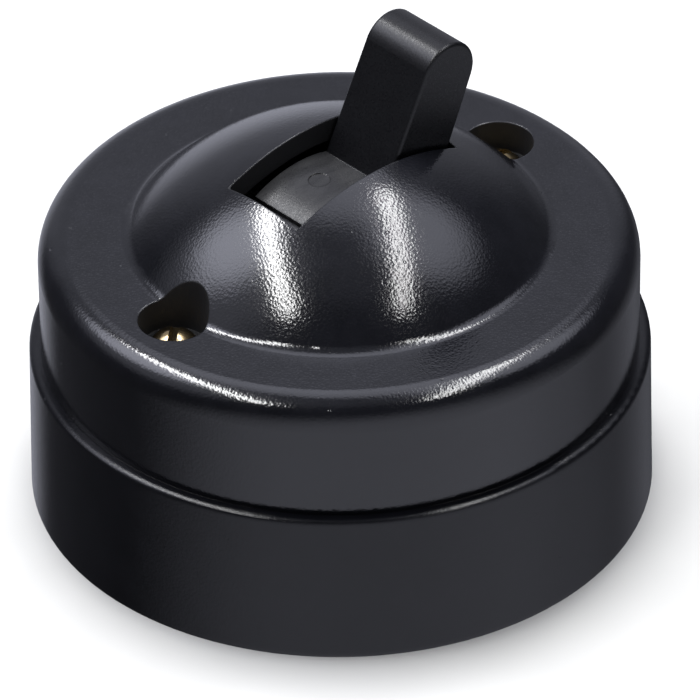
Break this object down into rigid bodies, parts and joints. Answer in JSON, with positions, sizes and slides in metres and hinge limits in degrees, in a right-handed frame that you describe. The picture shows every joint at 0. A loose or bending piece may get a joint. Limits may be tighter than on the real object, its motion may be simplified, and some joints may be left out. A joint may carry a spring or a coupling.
{
  "type": "surface-mounted toggle switch",
  "caption": "Round black moulded surface switch: cup base, domed screw-down cover and a slotted toggle lever that tips a sprung brass rocker between fixed contacts.",
  "frame": {"origin": "centre of the base's flat back face", "axes": "+Z out of the wall; X along the line of the cover screws and the lever's travel; Y along the lever's pivot"},
  "size_m": [0.0626, 0.0626, 0.0479],
  "materials": {
    "housing_black": "moulded, satin gloss with fine orange peel",
    "lever_black": "moulded, satin",
    "brass": "bright, slightly tarnished",
    "steel": "bright zinc plate",
    "contact_silver": "polished silver alloy"
  },
  "bodies": {
    "housing": {"base": "housing_black", "cover": "housing_black", "cover_screws": "brass", "cover_inserts": "brass", "bearing_ear_front": "steel", "bearing_ear_rear": "steel", "ear_screws": "steel", "common_terminal": "brass", "load_terminal_right": "brass", "load_terminal_left": "brass", "fixed_contact_right": "contact_silver", "fixed_contact_left": "contact_silver", "terminal_screws": "steel", "terminal_washers": "steel", "strip_rivets": "brass"},
    "dolly": {"dolly": "lever_black", "plunger_spring": "steel"},
    "plunger": {"plunger": "brass"},
    "rocker": {"rocker": "brass", "moving_contact_right": "contact_silver", "moving_contact_left": "contact_silver"}
  },
  "joints": [
    {"name": "lever_pivot", "type": "hinge", "parent": "housing", "child": "dolly", "pos_m": [0.0007, 0, 0.023], "axis": [0, 1, 0], "range_deg": [-51, 0]},
    {"name": "plunger_slide", "type": "slide", "parent": "dolly", "child": "plunger", "axis": [0.4305, 0, 0.9026], "range_m": [0, 0.0012], "stiffness_N_per_m": 500, "springref_m": -0.004, "deforming": ["plunger_spring"]},
    {"name": "rocker_pivot", "type": "hinge", "parent": "housing", "child": "rocker", "pos_m": [0.0007, 0, 0.0119], "axis": [0, 1, 0], "range_deg": [0, 15]}
  ],
  "couplings": [
    {"joint": "rocker_pivot", "follows": "lever_pivot", "ratio": -0.2941}
  ]
}
